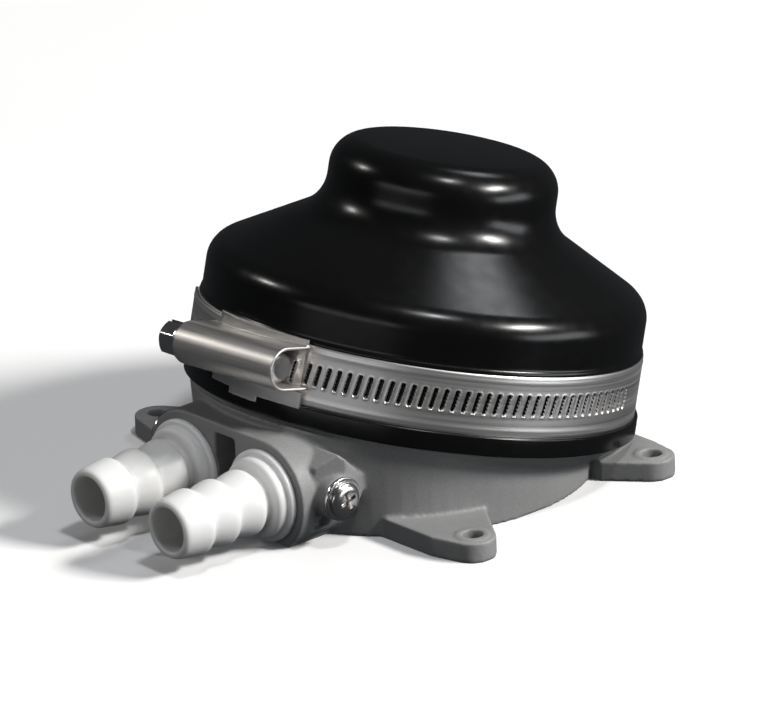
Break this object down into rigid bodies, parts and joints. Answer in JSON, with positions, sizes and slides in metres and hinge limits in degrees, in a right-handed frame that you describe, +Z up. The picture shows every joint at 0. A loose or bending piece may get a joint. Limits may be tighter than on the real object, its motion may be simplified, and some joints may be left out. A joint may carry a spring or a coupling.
{
  "type": "foot-operated bilge pump",
  "caption": "Foot-operated diaphragm bilge pump: round base with screw lugs, black rubber diaphragm held by a worm-drive clip, and barbed hose tails side by side at the front.",
  "frame": {"origin": "centre of the round base, on its underside", "axes": "+Z up from the mounting surface; -Y the way the hose tails point; the diaphragm's axis leans 14 degrees from +Z towards +Y"},
  "size_m": [0.107, 0.1286, 0.0696],
  "materials": {
    "body_plastic": "mid-grey glass-filled moulding, fine matt grain",
    "diaphragm_rubber": "black moulded rubber, satin",
    "plate_plastic": "plain moulding, inside the diaphragm",
    "spring_steel": "drawn stainless wire",
    "clip_steel": "rolled stainless strip, soft sheen",
    "clip_screw_steel": "turned stainless",
    "tail_plastic": "white moulding, slightly translucent, satin",
    "seal_rubber": "smooth black rubber",
    "valve_plastic": "white moulding",
    "screw_steel": "bright stainless",
    "washer_steel": "plain stainless"
  },
  "bodies": {
    "pump": {"pump_body": "body_plastic", "diaphragm_rim": "diaphragm_rubber", "diaphragm_wall": "diaphragm_rubber", "return_spring": "spring_steel", "clamp_band": "clip_steel", "clamp_housing": "clip_steel", "clamp_saddle": "clip_steel", "inlet_hosetail": "tail_plastic", "outlet_hosetail": "tail_plastic", "inlet_o_ring": "seal_rubber", "outlet_o_ring": "seal_rubber", "inlet_valve_seat": "valve_plastic", "outlet_valve_seat": "valve_plastic", "inlet_locking_screw": "screw_steel", "outlet_locking_screw": "screw_steel", "inlet_screw_washer": "washer_steel", "outlet_screw_washer": "washer_steel"},
    "plunger": {"diaphragm_knob": "diaphragm_rubber", "foot_plate": "plate_plastic"},
    "clamp_screw": {"clamp_screw": "clip_screw_steel"},
    "band_tail": {"clamp_band_tail": "clip_steel"},
    "inlet_flap": {"inlet_valve_flap": "seal_rubber"},
    "outlet_flap": {"outlet_valve_flap": "seal_rubber"}
  },
  "joints": [
    {"name": "pump_stroke", "type": "slide", "parent": "pump", "child": "plunger", "axis": [0, -0.2419, -0.9703], "range_m": [0, 0.02], "stiffness_N_per_m": 3400, "springref_m": -0.008, "deforming": ["diaphragm_wall", "return_spring"]},
    {"name": "clamp_screw_turn", "type": "hinge", "parent": "pump", "child": "clamp_screw", "pos_m": [0, -0.04349, 0.0361], "axis": [0.9981, 0.0148, 0.0592], "range_deg": [0, 990]},
    {"name": "band_tail_feed", "type": "hinge", "parent": "pump", "child": "band_tail", "pos_m": [0, 0.0044, 0.0169], "axis": [0, -0.2419, -0.9703], "range_deg": [0, 7.6]},
    {"name": "inlet_flap_swing", "type": "hinge", "parent": "pump", "child": "inlet_flap", "pos_m": [-0.0121, -0.0305, 0.0151], "axis": [1, 0, 0], "range_deg": [0, 35]},
    {"name": "outlet_flap_swing", "type": "hinge", "parent": "pump", "child": "outlet_flap", "pos_m": [0.0121, -0.024, 0.0151], "axis": [-1, 0, 0], "range_deg": [0, 35]}
  ],
  "couplings": [
    {"joint": "band_tail_feed", "follows": "clamp_screw_turn", "ratio": 0.0076598}
  ]
}
